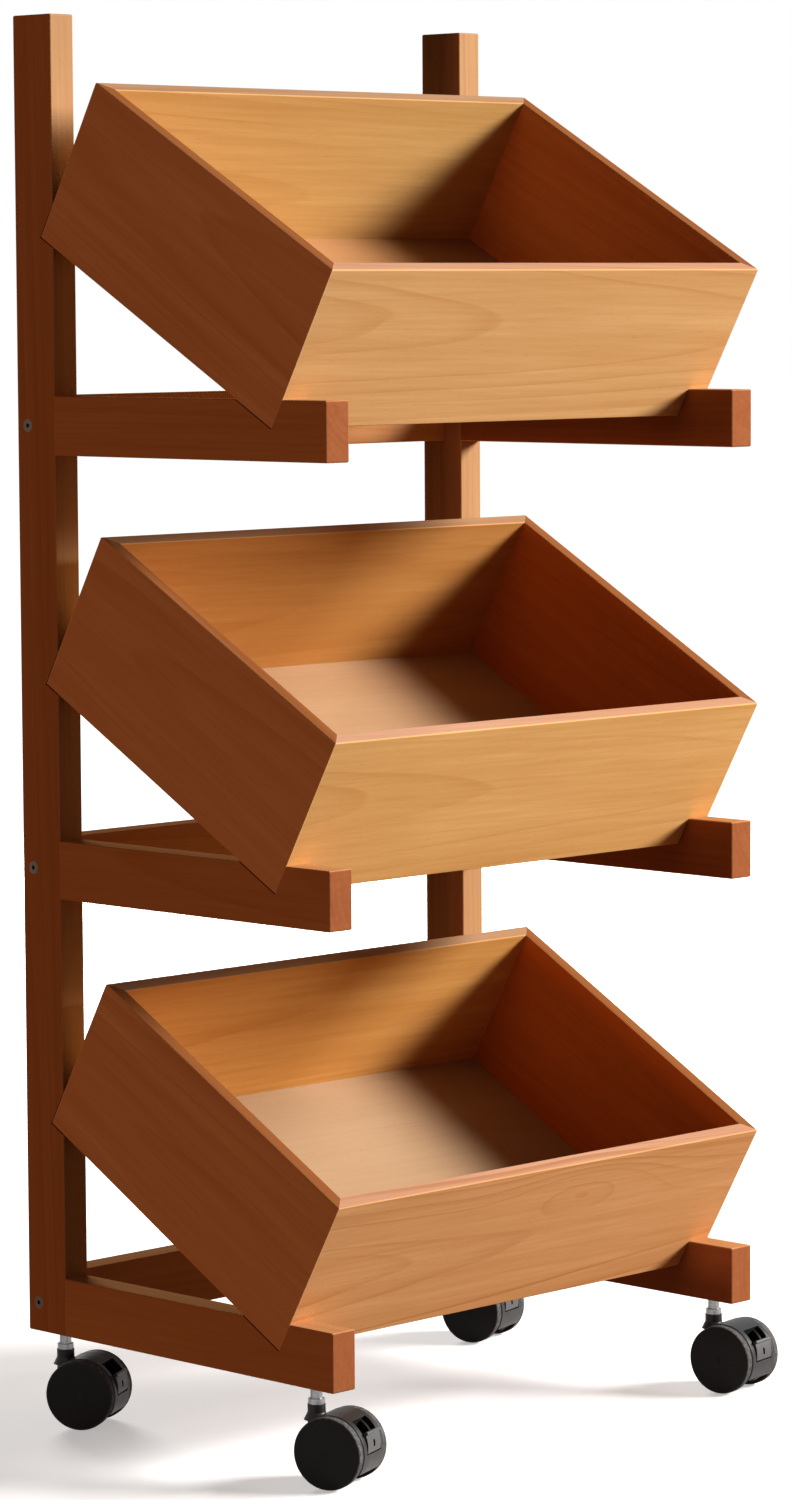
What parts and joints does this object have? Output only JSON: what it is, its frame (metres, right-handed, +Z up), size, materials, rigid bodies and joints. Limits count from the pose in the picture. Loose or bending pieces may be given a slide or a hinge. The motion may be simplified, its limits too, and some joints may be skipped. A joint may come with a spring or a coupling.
{
  "type": "rolling storage rack",
  "caption": "Rolling timber display rack: open boxes sit tilted forward in the notched arms of two side frames joined by crossbars, on braked swivel casters.",
  "frame": {"origin": "on the floor, under the middle of the rack's width and depth", "axes": "+X to the rack's right as its user faces it from behind, -Y to the front where the boxes tilt, +Z up"},
  "size_m": [0.4467, 0.3194, 0.9635],
  "materials": {
    "frame_timber": "stained pine, satin varnish",
    "box_timber": "stained pine, satin varnish",
    "dowel_wood": "plain beech",
    "screw_steel": "zinc plated",
    "insert_brass": "turned",
    "stem_steel": "bright zinc",
    "hood_plastic": "moulded, fine grain",
    "wheel_plastic": "moulded nylon",
    "pedal_plastic": "moulded, fine grain"
  },
  "bodies": {
    "frame": {"post_left": "frame_timber", "post_right": "frame_timber", "arm_left_top": "frame_timber", "arm_left_middle": "frame_timber", "arm_left_bottom": "frame_timber", "arm_right_top": "frame_timber", "arm_right_middle": "frame_timber", "arm_right_bottom": "frame_timber", "crossbar_top": "frame_timber", "crossbar_middle": "frame_timber", "crossbar_bottom": "frame_timber", "arm_dowels": "dowel_wood", "crossbar_dowels": "dowel_wood", "crossbar_screws": "screw_steel", "caster_inserts": "insert_brass", "caster_front_left_stem": "stem_steel", "caster_front_right_stem": "stem_steel", "caster_rear_left_stem": "stem_steel", "caster_rear_right_stem": "stem_steel"},
    "caster_front_left": {"caster_front_left_hood": "hood_plastic", "caster_front_left_axle": "stem_steel"},
    "wheel_front_left_left": {"caster_front_left_wheel_left": "wheel_plastic"},
    "wheel_front_left_right": {"caster_front_left_wheel_right": "wheel_plastic"},
    "pedal_front_left": {"caster_front_left_brake_pedal": "pedal_plastic"},
    "caster_front_right": {"caster_front_right_hood": "hood_plastic", "caster_front_right_axle": "stem_steel"},
    "wheel_front_right_left": {"caster_front_right_wheel_left": "wheel_plastic"},
    "wheel_front_right_right": {"caster_front_right_wheel_right": "wheel_plastic"},
    "pedal_front_right": {"caster_front_right_brake_pedal": "pedal_plastic"},
    "caster_rear_left": {"caster_rear_left_hood": "hood_plastic", "caster_rear_left_axle": "stem_steel"},
    "wheel_rear_left_left": {"caster_rear_left_wheel_left": "wheel_plastic"},
    "wheel_rear_left_right": {"caster_rear_left_wheel_right": "wheel_plastic"},
    "pedal_rear_left": {"caster_rear_left_brake_pedal": "pedal_plastic"},
    "caster_rear_right": {"caster_rear_right_hood": "hood_plastic", "caster_rear_right_axle": "stem_steel"},
    "wheel_rear_right_left": {"caster_rear_right_wheel_left": "wheel_plastic"},
    "wheel_rear_right_right": {"caster_rear_right_wheel_right": "wheel_plastic"},
    "pedal_rear_right": {"caster_rear_right_brake_pedal": "pedal_plastic"},
    "box_top": {"box_top_front": "box_timber", "box_top_right": "box_timber", "box_top_back": "box_timber", "box_top_left": "box_timber", "box_top_floor": "box_timber"},
    "box_middle": {"box_middle_front": "box_timber", "box_middle_right": "box_timber", "box_middle_back": "box_timber", "box_middle_left": "box_timber", "box_middle_floor": "box_timber"},
    "box_bottom": {"box_bottom_front": "box_timber", "box_bottom_right": "box_timber", "box_bottom_back": "box_timber", "box_bottom_left": "box_timber", "box_bottom_floor": "box_timber"}
  },
  "joints": [
    {"name": "front_left_swivel", "type": "hinge", "parent": "frame", "child": "caster_front_left", "pos_m": [-0.197, -0.11389, 0.052], "axis": [0, 0, 1], "continuous": true},
    {"name": "front_left_wheel_left_spin", "type": "hinge", "parent": "caster_front_left", "child": "wheel_front_left_left", "pos_m": [-0.19119, -0.12986, 0.024], "axis": [0.9397, 0.342, 0], "continuous": true},
    {"name": "front_left_wheel_right_spin", "type": "hinge", "parent": "caster_front_left", "child": "wheel_front_left_right", "pos_m": [-0.19119, -0.12986, 0.024], "axis": [0.9397, 0.342, 0], "continuous": true},
    {"name": "front_left_pedal_press", "type": "hinge", "parent": "caster_front_left", "child": "pedal_front_left", "pos_m": [-0.1852, -0.1463, 0.02461], "axis": [-0.9397, -0.342, 0], "range_deg": [0, 12]},
    {"name": "front_right_swivel", "type": "hinge", "parent": "frame", "child": "caster_front_right", "pos_m": [0.197, -0.11389, 0.052], "axis": [0, 0, 1], "continuous": true},
    {"name": "front_right_wheel_left_spin", "type": "hinge", "parent": "caster_front_right", "child": "wheel_front_right_left", "pos_m": [0.19995, -0.13063, 0.024], "axis": [0.9848, 0.1736, 0], "continuous": true},
    {"name": "front_right_wheel_right_spin", "type": "hinge", "parent": "caster_front_right", "child": "wheel_front_right_right", "pos_m": [0.19995, -0.13063, 0.024], "axis": [0.9848, 0.1736, 0], "continuous": true},
    {"name": "front_right_pedal_press", "type": "hinge", "parent": "caster_front_right", "child": "pedal_front_right", "pos_m": [0.20299, -0.14785, 0.02461], "axis": [-0.9848, -0.1736, 0], "range_deg": [0, 12]},
    {"name": "rear_left_swivel", "type": "hinge", "parent": "frame", "child": "caster_rear_left", "pos_m": [-0.197, 0.13411, 0.052], "axis": [0, 0, 1], "continuous": true},
    {"name": "rear_left_wheel_left_spin", "type": "hinge", "parent": "caster_rear_left", "child": "wheel_rear_left_left", "pos_m": [-0.18902, 0.1191, 0.024], "axis": [0.8829, 0.4695, 0], "continuous": true},
    {"name": "rear_left_wheel_right_spin", "type": "hinge", "parent": "caster_rear_left", "child": "wheel_rear_left_right", "pos_m": [-0.18902, 0.1191, 0.024], "axis": [0.8829, 0.4695, 0], "continuous": true},
    {"name": "rear_left_pedal_press", "type": "hinge", "parent": "caster_rear_left", "child": "pedal_rear_left", "pos_m": [-0.18081, 0.10366, 0.02461], "axis": [-0.8829, -0.4695, 0], "range_deg": [0, 12]},
    {"name": "rear_right_swivel", "type": "hinge", "parent": "frame", "child": "caster_rear_right", "pos_m": [0.197, 0.13411, 0.052], "axis": [0, 0, 1], "continuous": true},
    {"name": "rear_right_wheel_left_spin", "type": "hinge", "parent": "caster_rear_right", "child": "wheel_rear_right_left", "pos_m": [0.2014, 0.11769, 0.024], "axis": [0.9659, 0.2588, 0], "continuous": true},
    {"name": "rear_right_wheel_right_spin", "type": "hinge", "parent": "caster_rear_right", "child": "wheel_rear_right_right", "pos_m": [0.2014, 0.11769, 0.024], "axis": [0.9659, 0.2588, 0], "continuous": true},
    {"name": "rear_right_pedal_press", "type": "hinge", "parent": "caster_rear_right", "child": "pedal_rear_right", "pos_m": [0.20593, 0.1008, 0.02461], "axis": [-0.9659, -0.2588, 0], "range_deg": [0, 12]},
    {"name": "box_top_lift", "type": "slide", "parent": "frame", "child": "box_top", "axis": [0, -0.4909, 0.8712], "range_m": [0, 0.25]},
    {"name": "box_middle_lift", "type": "slide", "parent": "frame", "child": "box_middle", "axis": [0, -0.4909, 0.8712], "range_m": [0, 0.055]},
    {"name": "box_bottom_lift", "type": "slide", "parent": "frame", "child": "box_bottom", "axis": [0, -0.4909, 0.8712], "range_m": [0, 0.055]}
  ]
}
